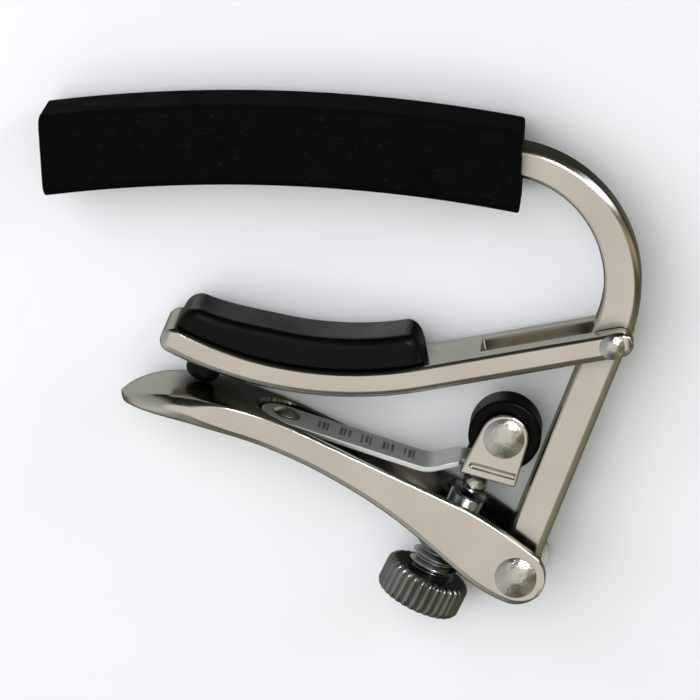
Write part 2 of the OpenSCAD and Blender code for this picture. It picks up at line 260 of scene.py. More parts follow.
def piece(name, points, faces, material, body, replaces, even=True):
    """A mesh piece from world points, riding on a body and standing for CAD nodes."""
    mesh = bpy.data.meshes.new(name)
    mesh.from_pydata([tuple(p) for p in points], [], faces)
    mesh.validate()
    obj = bpy.data.objects.new(name, mesh)
    bpy.context.scene.collection.objects.link(obj)
    tidy_normals(obj)
    for polygon in mesh.polygons:
        polygon.use_smooth = True
    mesh.materials.append(material)
    if even:
        even_normals(obj)
    if body:
        attach(obj, body, replaces)
    return obj


def attach(obj, body, replaces):
    """Hangs a piece on its body and hides the CAD nodes it stands for."""
    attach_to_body(obj, body)
    if replaces:
        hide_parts(*replaces)


def tidy_normals(obj):
    """Joins doubled points and turns every face outward."""
    bm = bmesh.new()
    bm.from_mesh(obj.data)
    bmesh.ops.remove_doubles(bm, verts=bm.verts, dist=0.002 * MM)
    bmesh.ops.recalc_face_normals(bm, faces=bm.faces)
    bm.to_mesh(obj.data)
    bm.free()


def loft_faces(rings, count):
    """Quads between rings of count points each, with the first and last ring capped."""
    faces = []
    for i in range(rings - 1):
        for j in range(count):
            k = (j + 1) % count
            faces.append((i * count + j, i * count + k, (i + 1) * count + k, (i + 1) * count + j))
    faces.append(tuple(range(count)))
    faces.append(tuple((rings - 1) * count + j for j in range(count)))
    return faces


def loft(name, rings, material, body=None, replaces=None, even=True):
    """A closed piece through rings of equal count. Without a body it is a blank or a cutter."""
    points = [p for ring in rings for p in ring]
    faces = loft_faces(len(rings), len(rings[0]))
    return piece(name, points, faces, material, body, replaces, even)


def round_section(low, high, half_w, r_low, r_high, steps):
    """A rounded rectangle as (depth, z) pairs, from depth low to high, with a radius at each."""
    out = []
    corners = [(high, half_w, r_high, 0), (low, half_w, r_low, 90), (low, -half_w, r_low, 180),
               (high, -half_w, r_high, 270)]
    for depth, z, r, turn in corners:
        cx = depth - math.copysign(r, 1 if depth == high else -1)
        cz = z - math.copysign(r, z)
        for i in range(steps + 1):
            d = polar(turn + 90 * i / steps)
            out.append((cx + r * d.x, cz + r * d.y))
    return out


UPRIGHT = Vector((0, 0, 1))


def prism(name, outline, half_w):
    """A blank with a flat outline, as deep as half_w on both sides of the middle plane."""
    rings = [[world(p, z) for p in outline] for z in (-half_w, half_w)]
    return loft(name, rings, NICKEL, even=False)


def ring_round(base, axis, side, height, radii):
    """A ring of points round an axis, from the direction side on, with a radius for each."""
    other = axis.cross(side)
    out = []
    for j, r in enumerate(radii):
        a = 2 * math.pi * j / len(radii)
        out.append(base + (side * math.cos(a) + other * math.sin(a)) * r * MM + axis * height * MM)
    return out


def lathe(name, profile, at, axis, material, body=None, replaces=None, segments=64,
          ripple=None, z=0.0, even=True):
    """(radius, height) pairs turned about an axis: UPRIGHT, or a direction in the plane."""
    axis = axis.to_3d().normalized()
    side = axis.orthogonal().normalized()
    rings = []
    for r, h in profile:
        radii = [ripple(r, 2 * math.pi * j / segments) if ripple else r for j in range(segments)]
        rings.append(ring_round(world(at, z), axis, side, h, radii))
    return loft(name, rings, material, body, replaces, even)


def bevel(obj, width, segments, angle):
    """Rounds the edges that turn by more than an angle in degrees."""
    m = obj.modifiers.new("bevel", "BEVEL")
    m.width = width * MM
    m.segments = segments
    m.limit_method = "ANGLE"
    m.angle_limit = math.radians(angle)


def bake_modifiers(obj):
    """Applies the modifiers that a piece has so far."""
    depsgraph = bpy.context.evaluated_depsgraph_get()
    mesh = bpy.data.meshes.new_from_object(obj.evaluated_get(depsgraph))
    obj.modifiers.clear()
    obj.data = mesh
    for polygon in mesh.polygons:
        polygon.use_smooth = True


def cut(obj, *cutters, operation="DIFFERENCE"):
    """Takes the cutters' shapes out of obj, or keeps what they share, and removes them."""
    for cutter in cutters:
        m = obj.modifiers.new("cut", "BOOLEAN")
        m.operation = operation
        m.solver = "EXACT"
        m.object = cutter
    bpy.context.view_layer.update()
    bake_modifiers(obj)
    for cutter in cutters:
        bpy.data.objects.remove(cutter)


def even_normals(obj):
    """Keeps flat faces flat beside rounded edges."""
    obj.modifiers.new("even", "WEIGHTED_NORMAL").keep_sharp = True


# ---- Materials ----

# Painted shade: the dark colour that the metals' recesses and creases are tinted towards.
PAINTED_RECESS_SHADE = (0.05, 0.055, 0.045)


def node_material(name):
    """A blank node material: (material, tree, shader, the object's own coordinates)."""
    material = bpy.data.materials.new(name)
    material.use_nodes = True
    tree = material.node_tree
    tree.nodes.clear()
    out = tree.nodes.new("ShaderNodeOutputMaterial")
    shader = tree.nodes.new("ShaderNodeBsdfPrincipled")
    tree.links.new(shader.outputs[0], out.inputs[0])
    place = tree.nodes.new("ShaderNodeTexCoord")
    return material, tree, shader, place.outputs["Object"]


def noise(tree, place, per_metre, detail, rough=0.55, stretch=None):
    """Noise with a number of waves a metre, stretched by a factor for each axis."""
    if stretch:
        mapping = tree.nodes.new("ShaderNodeMapping")
        mapping.inputs["Scale"].default_value = stretch
        tree.links.new(place, mapping.inputs["Vector"])
        place = mapping.outputs[0]
    n = tree.nodes.new("ShaderNodeTexNoise")
    n.inputs["Scale"].default_value = per_metre
    n.inputs["Detail"].default_value = detail
    n.inputs["Roughness"].default_value = rough
    tree.links.new(place, n.inputs["Vector"])
    return n.outputs[0]


def ramp(tree, source, stops, ease="LINEAR"):
    """Colours by value, from (value, colour) stops."""
    r = tree.nodes.new("ShaderNodeValToRGB")
    r.color_ramp.interpolation = ease
    while len(r.color_ramp.elements) < len(stops):
        r.color_ramp.elements.new(0.5)
    for element, (at, colour) in zip(r.color_ramp.elements, stops):
        element.position = at
        element.color = (*colour, 1)
    tree.links.new(source, r.inputs[0])
    return r.outputs[0]


def spread(tree, source, low, high):
    """A noise's middle values spread over a range."""
    m = tree.nodes.new("ShaderNodeMapRange")
    m.inputs["From Min"].default_value = 0.3
    m.inputs["From Max"].default_value = 0.7
    m.inputs["To Min"].default_value = low
    m.inputs["To Max"].default_value = high
    tree.links.new(source, m.inputs["Value"])
    return m.outputs[0]


def bump(tree, shader, height, depth_mm, strength):
    """Raises a shader's surface by a height, up to a depth."""
    b = tree.nodes.new("ShaderNodeBump")
    b.inputs["Strength"].default_value = strength
    b.inputs["Distance"].default_value = depth_mm * MM
    tree.links.new(height, b.inputs["Height"])
    tree.links.new(b.outputs[0], shader.inputs["Normal"])


def paint_recess_shade(tree, tint, shade_colour, reach_mm):
    """The tint, darkened to a painted shade colour where nearby surfaces close a spot in."""
    hollow = tree.nodes.new("ShaderNodeAmbientOcclusion")
    hollow.samples = 6
    hollow.inputs["Distance"].default_value = reach_mm * MM
    open_share = ramp(tree, hollow.outputs["AO"], [(0.3, (0, 0, 0)), (0.78, (1, 1, 1))])
    mix = tree.nodes.new("ShaderNodeMix")
    mix.data_type = "RGBA"
    tree.links.new(open_share, mix.inputs["Factor"])
    mix.inputs[6].default_value = (*shade_colour, 1)
    tree.links.new(tint, mix.inputs[7])
    return mix.outputs[2]


def metal(name, dark, light, rough_low, rough_high, grain, depth_mm, stretch=None, reach_mm=3.0,
          metallic=1.0):
    """Plated metal: a tint that drifts, painted shade in its recesses, smudges in the gloss, and a
    fine grain.
    """
    material, tree, shader, place = node_material(name)
    shader.inputs["Metallic"].default_value = metallic
    tint = ramp(tree, noise(tree, place, 90, 4), [(0.3, dark), (0.7, light)])
    # Painted shade: the tint darkens where nearby surfaces occlude it, within reach_mm.
    tint = paint_recess_shade(tree, tint, PAINTED_RECESS_SHADE, reach_mm)
    tree.links.new(tint, shader.inputs["Base Color"])
    smudge = noise(tree, place, 260, 6, 0.65)
    tree.links.new(spread(tree, smudge, rough_low, rough_high), shader.inputs["Roughness"])
    bump(tree, shader, noise(tree, place, grain, 5, 0.6, stretch), depth_mm, 0.6)
    return material


def rubber(name, base, fleck, fleck_at, rough_low, rough_high, grain, depth_mm, gloss, stretch=None):
    """Rubber with a fine grain, pale flecks of dust and an uneven dull gloss."""
    material, tree, shader, place = node_material(name)
    fibres = noise(tree, place, grain, 6, 0.7, stretch)
    colour = ramp(tree, fibres, [(fleck_at, base), (min(fleck_at + 0.12, 1), fleck)])
    tree.links.new(colour, shader.inputs["Base Color"])
    patch = noise(tree, place, 300, 3)
    tree.links.new(spread(tree, patch, rough_low, rough_high), shader.inputs["Roughness"])
    shader.inputs["Specular IOR Level"].default_value = gloss
    bump(tree, shader, fibres, depth_mm, 0.8)
    return material


def paint_facing_sheen(material, direction, colour, low, high):
    """Greys a rubber where it faces a direction: a painted sheen on the faces turned that way, broken
    up by noise.
    """
    tree = material.node_tree
    shader = next(n for n in tree.nodes if n.type == "BSDF_PRINCIPLED")
    before = shader.inputs["Base Color"].links[0].from_socket
    place = tree.nodes.new("ShaderNodeTexCoord")
    facing = tree.nodes.new("ShaderNodeVectorMath")
    facing.operation = "DOT_PRODUCT"
    facing.inputs[1].default_value = direction
    tree.links.new(place.outputs["Normal"], facing.inputs[0])
    share = tree.nodes.new("ShaderNodeMapRange")
    share.interpolation_type = "SMOOTHSTEP"
    share.inputs["From Min"].default_value = low
    share.inputs["From Max"].default_value = high
    tree.links.new(facing.outputs["Value"], share.inputs["Value"])
    patches = tree.nodes.new("ShaderNodeMath")
    patches.operation = "MULTIPLY"
    tree.links.new(share.outputs[0], patches.inputs[0])
    sheen_spread = spread(tree, noise(tree, place.outputs["Object"], 110, 3), 0.55, 1.0)
    tree.links.new(sheen_spread, patches.inputs[1])
    mix = tree.nodes.new("ShaderNodeMix")
    mix.data_type = "RGBA"
    tree.links.new(patches.outputs[0], mix.inputs["Factor"])
    tree.links.new(before, mix.inputs[6])
    mix.inputs[7].default_value = (*colour, 1)
    tree.links.new(mix.outputs[2], shader.inputs["Base Color"])


NICKEL = metal("nickel_plate", (0.67, 0.64, 0.585), (0.76, 0.735, 0.69), 0.13, 0.2,
               grain=1200, depth_mm=0.003, reach_mm=4.5)
RIVET = metal("rivet_nickel", (0.60, 0.59, 0.56), (0.76, 0.75, 0.72), 0.14, 0.26,
              grain=620, depth_mm=0.32)
SPRING = metal("spring_steel", (0.58, 0.61, 0.59), (0.70, 0.74, 0.71), 0.28, 0.42,
               grain=1800, depth_mm=0.01, stretch=(1, 0.2, 1), metallic=0.5)
SCREW = metal("screw_steel", (0.17, 0.18, 0.165), (0.30, 0.31, 0.29), 0.2, 0.34,
              grain=1500, depth_mm=0.012, reach_mm=1.5)
THREAD = metal("thread_steel", (0.44, 0.48, 0.51), (0.58, 0.63, 0.67), 0.14, 0.22,
               grain=1500, depth_mm=0.006, reach_mm=2.2)
MARK = metal("stamped_mark", (0.2, 0.21, 0.2), (0.3, 0.32, 0.3), 0.5, 0.7,
             grain=2500, depth_mm=0.004)
SLEEVE = rubber("sleeve_rubber", (0.0012, 0.0018, 0.0018), (0.011, 0.015, 0.014), 0.6, 0.62, 0.85,
                grain=2600, depth_mm=0.05, gloss=0.06, stretch=(0.5, 1, 1))
PAD = rubber("pad_rubber", (0.0015, 0.0015, 0.0016), (0.014, 0.014, 0.014), 0.66, 0.3, 0.45,
             grain=1400, depth_mm=0.02, gloss=0.16)
PLASTIC = rubber("roller_plastic", (0.001, 0.001, 0.001), (0.01, 0.012, 0.01), 0.7, 0.3, 0.42,
                 grain=1600, depth_mm=0.01, gloss=0.1)
# Painted sheen: the pad's faces towards +Y are greyed as if light gleamed on its top.
paint_facing_sheen(PAD, (0, 1, 0), (0.09, 0.09, 0.092), 0.88, 0.985)


# ---- Main bar and sleeve ----

def bar_stations():
    """(outer point, outward direction, thickness) along the bar from the sleeve's end to its foot."""
    out = []
    outer_r = STRING_R + LEG_T / 2
    end = BEND_A + math.degrees((SLEEVE_LEN - BAR_INSET) / STRING_R)
    for i in range(24):
        a = end + (BEND_A - end) * i / 24
        out.append((STRING_C + outer_r * polar(a), polar(a), STRING_T))
    for i in range(72):
        a = BEND_A + (-LEG_TILT - BEND_A) * i / 71
        thick = STRING_T + (LEG_T - STRING_T) * smooth(0, 1, i / 71)
        out.append((BEND_C + BEND_OUT_R * polar(a), polar(a), thick))
    start = out[-1][0]
    outward = polar(-LEG_TILT)
    foot = Vector((LEG_SHIFT, 0)) - LEG_FOOT * leg_u() + LEG_T / 2 * outward
    for i in range(1, 21):
        out.append((start.lerp(foot, i / 20), outward, LEG_T))
    return out


def make_main_bar():
    """The bar, with its outer edges rounder than its inner ones."""
    rings = []
    for outer, outward, thick in bar_stations():
        section = round_section(-thick, 0, BAR_HALF_W, 0.55, 1.15, 6)
        rings.append([world(outer + d * outward, z) for d, z in section])
    return loft("bar_body", rings, NICKEL, "frame", ["main_bar"])


def make_sleeve():
    """The sleeve's sections turn from one end's lean to the other's, and its ends are rounded."""
    rings = []
    ends = [(0.0, 0.3), (0.07, 0.14), (0.16, 0.05), (0.3, 0.0)]
    stops = ends + [(SLEEVE_LEN * i / 60, 0) for i in range(1, 60)]
    stops += [(SLEEVE_LEN - s, inset) for s, inset in reversed(ends)]
    for s, inset in stops:
        x = SLEEVE_END - s
        dx = x - STRING_C.x
        middle = Vector((x, STRING_C.y + math.sqrt(SLEEVE_R**2 - dx**2)))
        lean = OPEN_LEAN + (CLOSED_LEAN - OPEN_LEAN) * s / SLEEVE_LEN
        up = polar(90 - lean)
        half = SLEEVE_T / 2 / math.cos(math.asin(dx / SLEEVE_R) - math.radians(lean)) - inset
        section = round_section(-half, half, SLEEVE_W / 2 - inset, 1.5, 1.5, 7)
        rings.append([world(middle + d * up, z) for d, z in section])
    return loft("sleeve_skin", rings, SLEEVE, "frame", ["string_sleeve"])


# ---- Neck arm ----

def arm_stations():
    """(middle, up, half thickness, half width) along the arm from its pin end to its nose."""
    r = ARM_T / 2
    up = polar(ARM_TILT + 90)
    tail = ARM_PIN - ARM_TAIL * ARM_U
    knee = ARM_PIN + ARM_STRAIGHT * ARM_U
    nose = ARM_C + ARM_R * polar(NOSE_A)
    out = []
    for i in range(10):
        d = polar(80 - 80 * i / 10 + 10)
        out.append((tail - ARM_U * r * d.y, up, r * d.x, ARM_HALF_W - 0.5 * (1 - d.x)))
    out += [(tail.lerp(knee, i / 30), up, r, ARM_HALF_W) for i in range(31)]
    for i in range(1, 61):
        a = ARM_TILT - 90 - ARM_SWEEP * i / 60
        out.append((ARM_C + ARM_R * polar(a), -polar(a), r, ARM_HALF_W))
    forward = polar(NOSE_A - 90)
    for i in range(1, 11):
        d = polar(8.5 * i)
        out.append((nose + forward * r * d.y, -polar(NOSE_A), r * d.x, ARM_HALF_W - 0.8 * (1 - d.x)))
    return out


def slot_outline():
    """The slot's long box, open past the arm's pin end."""
    across = polar(ARM_TILT + 90) * ARM_T
    far = ARM_PIN + SLOT_LEN * ARM_U
    near = ARM_PIN - 6 * ARM_U
    return [far - across, near - across, near + across, far + across]


def make_arm():
    """A round-edged strip along the arm's line, slotted from its pin end."""
    rings = []
    for middle, up, half, half_w in arm_stations():
        section = round_section(-half, half, half_w, min(1.05, 0.62 * half), min(0.65, 0.4 * half), 6)
        rings.append([world(middle + up * d, z) for d, z in section])
    arm = loft("arm_body", rings, NICKEL, even=False)
    cut(arm, prism("slot_cutter", slot_outline(), SLOT_HALF_W))
    bevel(arm, 0.14, 2, 60)
    even_normals(arm)
    attach(arm, "neck_arm", ["neck_arm"])


def make_pad():
    """A moulded pad: soft corners, a crowned top and pinched-in ends."""
    start, end = ARM_TILT - 89.4, NOSE_A - 0.6
    base_r = ARM_R - ARM_T / 2 - 0.03
    length = math.radians(start - end) * base_r
    rings, count = [], 84
    for i in range(count + 1):
        u = length * 0.5 * (1 - math.cos(math.pi * i / count))
        edge = min(u, length - u)
        e = math.sqrt(max(0.0, 1 - (1 - min(edge / PAD_CORNER, 1)) ** 2))
        half_w = PAD_W / 2 - 1.1 * (1 - e)
        thick = PAD_T * (0.5 + 0.5 * e) - 0.85 * smooth(0.6, 1, u / length)
        a = start - math.degrees(u / base_r)
        r_top = min(1.3, thick / 2.2)
        ring = []
        for d, z in round_section(0, thick, half_w, 0.35, r_top, 7):
            crown = 0.16 * (1 - (z / half_w) ** 2) if d > thick / 2 else 0
            ring.append(world(ARM_C + (base_r - d - crown) * polar(a), z))
        rings.append(ring)
    pad = loft("pad_cushion", rings, PAD, "neck_arm", ["neck_pad"])


def make_bumper():
    """A rubber plug with a round end, across the arm's curve near its nose."""
    a = ARM_TILT - 90 - BUMPER_AT
    out = polar(a)
    base = ARM_C + (ARM_R + ARM_T / 2 - 0.3) * out
    wall = BUMPER_DROP - 1.2
    profile = [(0.0, 0.0), (BUMPER_R - 0.2, 0.0), (BUMPER_R, 0.3), (BUMPER_R, wall)]
    for i in range(1, 13):
        d = polar(90 * i / 12)
        profile.append((BUMPER_R * d.x, wall + 1.45 * d.y))
    lathe("bumper_dome", profile, base, out, PAD, "neck_arm", ["bumper_plug"], 48)


# ---- Lever ----

def lever_rails(n):
    """The rim and the belly as n + 1 matching points from the thumb tip to the round end."""
    end = Vector((0, 0))
    shoulder = Vector((1, 1)).normalized() * LEVER_END_R
    heel = polar(-115) * LEVER_END_R
    rim = bezier(TIP, Vector((-46.2, 23.9)), Vector((-38, 23.1)), RIM_A, 40)
    rim += bezier(RIM_B, Vector((-3.5, 7.4)), Vector((0.1, 4.6)), shoulder, 16)
    rim += arc(end, LEVER_END_R, 45, -35, 20)
    belly = bezier(TIP + Vector((0.7, -0.8)), Vector((-40, 19.75)), Vector((-29.5, 16)), BELLY_A, 40)
    belly += bezier(BELLY_A, Vector((-10.7, 5.1)), Vector((-8.1, -0.8)), heel, 30)
    belly += arc(end, LEVER_END_R, -115, -35, 20)
    return resample(rim, n), resample(belly, n)


def lever_half_w(x):
    """Half the lever's width at x: even along the flanges, flared and round at the thumb tip."""
    flare = LEVER_HALF_W + (TIP_HALF_W - LEVER_HALF_W) * smooth(-31, -41, x)
    end = min(max((x - TIP.x) / TIP_ROUND, 0.0), 1.0)
    return max(flare * (1 - (1 - end) ** 2.2) ** 0.55, 0.02)


def lever_ring(top, low):
    """One section of the lever between a rim point and its belly point."""
    n_top = 10
    down = low - top
    depth = max(down.length, 0.01)
    down = down / depth
    r_top = min(0.3 + 2.0 * smooth(-36.5, -44, top.x), 0.48 * depth)
    r_low = min(0.95 + 1.0 * smooth(-35, -47, top.x), 0.48 * depth)
    crown = 0.75 * smooth(-32, -40, top.x) * smooth(TIP.x - 4, TIP.x + TIP_ROUND, top.x)

    def spot(z_share, r, turn, side):
        """A point on the rim's side (1) or the belly's (-1), turned round its corner."""
        d = polar(turn)
        sink = r * (1 - d.y)
        p = top + down * sink if side > 0 else low - down * sink
        w = lever_half_w(p.x)
        z = z_share * (w - min(r, 0.9 * w)) + math.copysign(min(r, 0.9 * w) * d.x, z_share)
        lift = crown * (1 - (z / w) ** 2) if side > 0 else -0.25 * crown * (1 - (z / w) ** 2)
        return world(p + Vector((0, lift)), z)

    ring = [spot(-1 + 2 * (i + 1) / (n_top + 1), r_top, 90, 1) for i in range(n_top)]
    ring += [spot(1, r_top, 90 - 15 * i, 1) for i in range(7)]
    ring += [spot(1, r_low, 15 * i, -1) for i in range(7)]
    ring += [spot(1 - 2 * (i + 1) / (n_top + 1), r_low, 90, -1) for i in range(n_top)]
    ring += [spot(-1, r_low, 90 - 15 * i, -1) for i in range(7)]
    ring += [spot(-1, r_top, 15 * i, 1) for i in range(7)]
    return ring


def trough_outline():
    """The trough from the side: the strip's seat, a sloping floor, and open past the pin."""
    high = 30
    floor = bezier(SEAT_B, Vector((-19, 14.2)), Vector((-13, 10.2)), FLOOR_B, 24)
    end = [(-4.4, 1.4), (-3.2, -1.2), (-1, -5), (5, -5), (5, high)]
    return [Vector((SEAT_A.x, high)), SEAT_A] + floor + [Vector(p) for p in end]


def trough_plan():
    """A box with a round left end, seen from above, which trims the trough's start."""
    half = LEVER_HALF_W - FLANGE_T
    points = [world(Vector((6, 0)), -half), world(Vector((6, 0)), half)]
    centre = SEAT_A.x + half
    for i in range(25):
        d = polar(90 + 180 * i / 24)
        points.append(world(Vector((centre + half * d.x, 0)), half * d.y))
    up = Vector((0, 40, 0)) * MM
    rings = [[p - up for p in points], [p + up for p in points]]
    return loft("trough_plan", rings, NICKEL, even=False)


def make_lever():
    """The lever's solid form with the trough taken out of its rim side."""
    rim, belly = lever_rails(150)
    rings = [lever_ring(t, b) for t, b in zip(rim, belly)]
    lever = loft("lever_body", rings, NICKEL, even=False)
    trough = prism("trough_cutter", trough_outline(), LEVER_HALF_W - FLANGE_T)
    cut(trough, trough_plan(), operation="INTERSECT")
    cut(lever, trough)
    bevel(lever, 0.16, 3, 50)
    even_normals(lever)
    attach(lever, "lever", ["lever"])


# ---- Rivets, spacers and roller ----

def dome_profile(r, h, steps=14):
    """A rivet head standing on height 0: a short upright foot under a shallow dome."""
    out = [(r, 0.0), (r, 0.1)]
    for i in range(1, steps + 1):
        d = polar(90 * i / steps)
        out.append((r * max(d.x, 0.0), 0.1 + (h - 0.1) * (0.1 * d.y + 0.9 * d.y**2)))
    return out


def rivet(name, at, grip, shank_r, head, tail, body, replaces):
    """A rivet along Z through a grip, head and tail each as (radius, height)."""
    end = grip / 2 + 0.02
    front = [(r, end + h) for r, h in dome_profile(*head)]
    back = [(r, -end - h) for r, h in reversed(dome_profile(*tail))]
    profile = back + [(shank_r, -end), (shank_r, end)] + front
    lathe(name, profile, at, UPRIGHT, RIVET, body, replaces, 72)


def make_rivets():
    """The hinge rivets, the roller's axle, and the strip's rivet in the trough."""
    rivet("arm_rivet_body", ARM_PIN, 2 * ARM_HALF_W, shank_r=1.1, head=(1.55, 0.6), tail=(1.5, 0.5),
          body="frame", replaces=["arm_rivet"])
    rivet("lever_rivet_body", Vector((0, 0)), 2 * LEVER_HALF_W, shank_r=1.6, head=(2.6, 0.85),
          tail=(2.5, 0.75), body="frame", replaces=["lever_rivet"])
    rivet("roller_axle_body", ROLLER_PIN, YOKE_GAP + 2 * YOKE_T, shank_r=1.2, head=(2.55, 0.8),
          tail=(2.3, 0.6), body="roller_carrier", replaces=["roller_axle"])
    foot, low, shank_r = -1.8, STRIP_T / 2 + 0.1, 1.2
    head = [(r, low + h) for r, h in dome_profile(1.75, 0.7)]
    profile = [(0.0, foot), (shank_r, foot), (shank_r, low)] + head
    lathe("strip_rivet_body", profile, STRIP_PIN, STRIP_Y, RIVET, "lever", ["strip_rivet"],
          64)


def make_spacers():
    """Rings with broken edges that fill the gaps between the flanges and the bar."""
    gap = LEVER_HALF_W - FLANGE_T - BAR_HALF_W
    h = gap / 2 - CLEAR
    hole, outer, edge = 1.65, 2.9, 0.15
    for name, side in (("front", 1), ("back", -1)):
        profile = [(hole, -h), (outer - edge, -h), (outer, edge - h), (outer, h - edge),
                   (outer - edge, h), (hole, h), (hole, -h)]
        lathe("spacer_" + name, profile, Vector((0, 0)), UPRIGHT, SCREW, "lever",
              ["lever_spacer_" + name], 64, z=side * (BAR_HALF_W + gap / 2))


def make_roller():
    """A roller with round edges and a shallow recess round its bore."""
    h = ROLLER_W / 2
    half = [(1.3, h - 0.25), (2.4, h - 0.25), (2.7, h)] + rounded(ROLLER_R, h, ROLLER_EDGE, 6)
    half += [(ROLLER_R, h * (1 - i / 3)) for i in range(1, 3)]
    mirrored = [(r, -z) for r, z in reversed(half)]
    lathe("roller_body", half + mirrored + [half[0]], ROLLER_PIN, UPRIGHT, PLASTIC, "roller",
          ["roller"], 128)


# ---- Spring strip and yoke ----

def strip_line():
    """(point on the strip's middle plane, half width) from its round tail to its tongue."""
    out = []
    for i in range(13):
        d = polar(180 - 90 * i / 12)
        out.append((STRIP_PIN + STRIP_X * STRIP_TAIL * d.x, max(STRIP_W / 2 * d.y, 0.05)))
    for i in range(1, 9):
        out.append((STRIP_PIN + STRIP_X * (STRIP_BEND - BEND_REACH) * i / 8, STRIP_W / 2))
    bend = STRIP_PIN + STRIP_X * STRIP_BEND
    lap = YOKE_CORNER + YOKE_Y * (YOKE_T + 0.02 + STRIP_T / 2)
    near = bend - STRIP_X * BEND_REACH
    along = (lap - bend).normalized()
    for i in range(1, 8):
        t = i / 7
        p = (1 - t) ** 2 * near + 2 * t * (1 - t) * bend + t * t * (bend + along * BEND_REACH)
        out.append((p, STRIP_W / 2))
    out.append((lap - along * 0.5, STRIP_W / 2))
    for p in (lap - along * 0.3, lap + YOKE_X * 0.3, lap + YOKE_X * 2.2):
        out.append((p, YOKE_GAP / 2 - CLEAR))
    return out


def make_strip():
    """The spring strip, with its stamped marks."""
    line = strip_line()
    rings = []
    for i, (p, half_w) in enumerate(line):
        before, after = line[max(i - 1, 0)][0], line[min(i + 1, len(line) - 1)][0]
        along = (after - before).normalized()
        up = Vector((-along.y, along.x))
        r = min(0.14, half_w * 0.9)
        section = round_section(-STRIP_T / 2, STRIP_T / 2, half_w, r, r, 3)
        rings.append([world(p + up * d, z) for d, z in section])
    loft("strip_body", rings, SPRING, "roller_carrier", ["spring_strip"])
    make_strip_marks()


def make_strip_marks():
    """Short stamped dashes along the strip that spell nothing."""
    rng = random.Random(7)
    points, faces = [], []
    first, group_pitch, dash_pitch = 4.2, 2.85, 0.56
    top = STRIP_T / 2 + 0.012
    box = ((0, 1, 2, 3), (4, 5, 6, 7), (0, 1, 5, 4), (1, 2, 6, 5), (2, 3, 7, 6), (3, 0, 4, 7))
    for group in range(5):
        for dash in range(3):
            x0 = first + group * group_pitch + dash * dash_pitch
            length = 0.4 if (group + dash) % 2 else 0.26
            z0 = -2.0 + 0.4 * rng.random()
            span = 3.1 + 0.6 * rng.random()
            base = len(points)
            for d in (top - 0.12, top):
                for x, z in ((x0, z0), (x0 + length, z0), (x0 + length, z0 + span), (x0, z0 + span)):
                    points.append(world(STRIP_PIN + STRIP_X * x + STRIP_Y * d, z))
            faces += [tuple(base + k for k in face) for face in box]
    piece("strip_marks", points, faces, MARK, "roller_carrier", None, even=False)


def ear_outline():
    """The yoke from the side: a straight base, and tangents up to a round top."""
    corner_b = YOKE_CORNER + YOKE_BASE * YOKE_X
    to_a = YOKE_CORNER - ROLLER_PIN
    to_b = corner_b - ROLLER_PIN
    a = math.degrees(math.atan2(to_a.y, to_a.x) - math.acos(YOKE_ROUND / to_a.length))
    b = math.degrees(math.atan2(to_b.y, to_b.x) + math.acos(YOKE_ROUND / to_b.length))
    return [YOKE_CORNER, corner_b] + arc(ROLLER_PIN, YOKE_ROUND, b, a + 360, 32)


def bead_cutter(side, face):
    """A round-ended rod that presses a groove into an ear near its fold."""
    r, length = 0.5, YOKE_BASE - 1.2
    low = YOKE_CORNER + YOKE_X * 0.85 + YOKE_Y * 1.35
    profile = [(radius, -height) for radius, height in rounded(r, 0.0, r, 6)]
    profile += [(r, length), (0.0, length)]
    return lathe("bead_cutter", profile, low, YOKE_X, NICKEL, segments=32, z=side * (face + 0.2),
                 even=False)


def make_yoke():
    """A folded yoke: a rounded block with the gap and the ears' grooves taken out."""
    outer = YOKE_GAP / 2 + YOKE_T
    yoke = prism("yoke_body", ear_outline(), outer)
    corners = ((-9, YOKE_T), (16, YOKE_T), (16, 14), (-9, 14))
    inside = [YOKE_CORNER + YOKE_X * x + YOKE_Y * y for x, y in corners]
    bevel(yoke, 0.28, 4, 40)
    bake_modifiers(yoke)
    cutters = [prism("gap_cutter", inside, YOKE_GAP / 2)]
    cutters += [bead_cutter(side, outer) for side in (1, -1)]
    cut(yoke, *cutters)
    bevel(yoke, 0.08, 2, 50)
    even_normals(yoke)
    attach(yoke, "roller_carrier", ["roller_yoke"])


def make_yoke_rivets():
    """Two small rivets up through the yoke's base and the strip's tongue."""
    at = YOKE_CORNER + YOKE_X * 1.1 + YOKE_Y * 0.1
    shank_r, height = 0.5, YOKE_T + STRIP_T + 0.12
    head = [(r, height + h) for r, h in dome_profile(0.62, 0.22, 6)]
    profile = [(0.0, 0.0), (shank_r, 0.0), (shank_r, height)] + head
    for k, z in enumerate((-1.4, 1.4)):
        lathe(f"yoke_rivet_{k}", profile, at, YOKE_Y, RIVET, "roller_carrier", ["yoke_rivets"],
              32, z=z)


# ---- Thumb screw ----

def make_knob():
    """A fluted barrel with round edges and a shallow dish in each face."""
    h = KNOB_H / 2
    top = [(0.0, h - 0.15), (2.0, h - 0.12), (3.3, h - 0.02)] + rounded(KNOB_R, h, KNOB_EDGE, 9)
    wall = [(KNOB_R, h * (1 - i / 4) - 0.4) for i in range(1, 4)]
    bottom = [(r, -z) for r, z in reversed(top)]

    def flute(r, a):
        """The radius at an angle, cut in by the flutes near the rim."""
        reach = smooth(KNOB_R - 1.6, KNOB_R - 0.35, r)
        valley = 1 - abs(math.sin(a * FLUTES / 2)) ** 0.8
        return max(r - FLUTE_DEPTH * reach * valley, 0.0)

    lathe("knob_body", top + wall + bottom, KNOB_AT, SCREW_D, SCREW, "thumb_screw", ["thumb_knob"],
          FLUTES * 14, flute)


def thread_radius(s, share):
    """The thread's radius at a distance along the screw and a share of a turn round it."""
    turn = s / THREAD_PITCH - share
    wave = abs(2 * (turn - math.floor(turn)) - 1)
    depth = THREAD_DEPTH * min(max((wave - 0.1) / 0.76, 0), 1)
    fade = smooth(THREAD_END, THREAD_END - 0.5, s)
    return THREAD_R - depth * fade - (1 - fade) * 0.6


